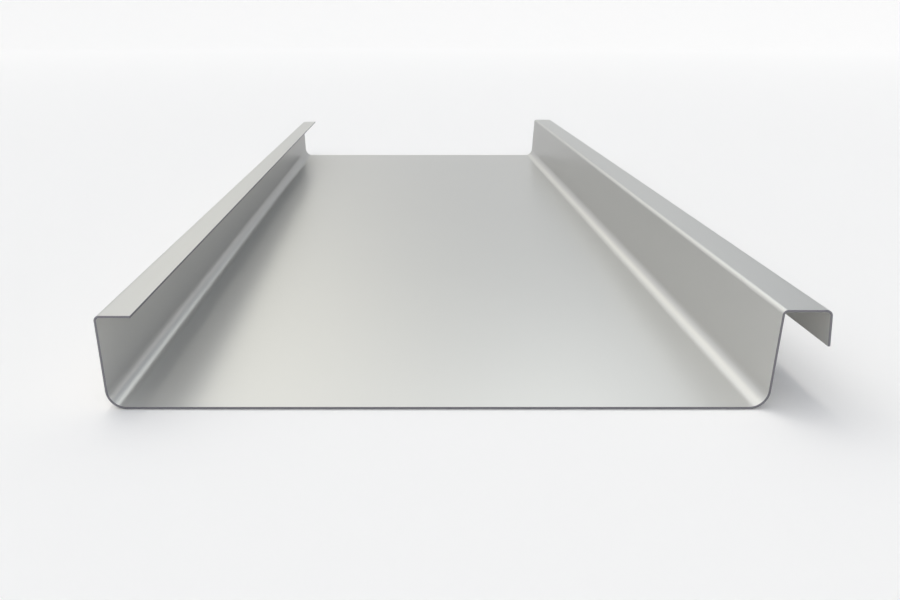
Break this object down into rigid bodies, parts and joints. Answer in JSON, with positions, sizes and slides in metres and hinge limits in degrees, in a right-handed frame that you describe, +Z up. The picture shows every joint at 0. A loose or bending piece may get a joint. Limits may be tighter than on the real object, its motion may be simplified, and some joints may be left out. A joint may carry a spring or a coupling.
{
  "type": "standing-seam cladding panel",
  "caption": "Flat tray of thin roll-formed aluminium sheet with an upstand along each side: one folds inwards as a male flange, the other folds outwards as a flange with a lip.",
  "frame": {"origin": "middle of the pan's underside, half way along the panel and half way between its feet", "axes": "+X towards the female edge, +Y along the seams away from the near cut end, +Z up out of the tray"},
  "size_m": [0.2785, 0.7, 0.0403],
  "materials": {
    "mill_aluminium": "satin, plain mill or clear-coated sheet"
  },
  "bodies": {
    "root": {"cladding_panel": "mill_aluminium"}
  },
  "joints": []
}
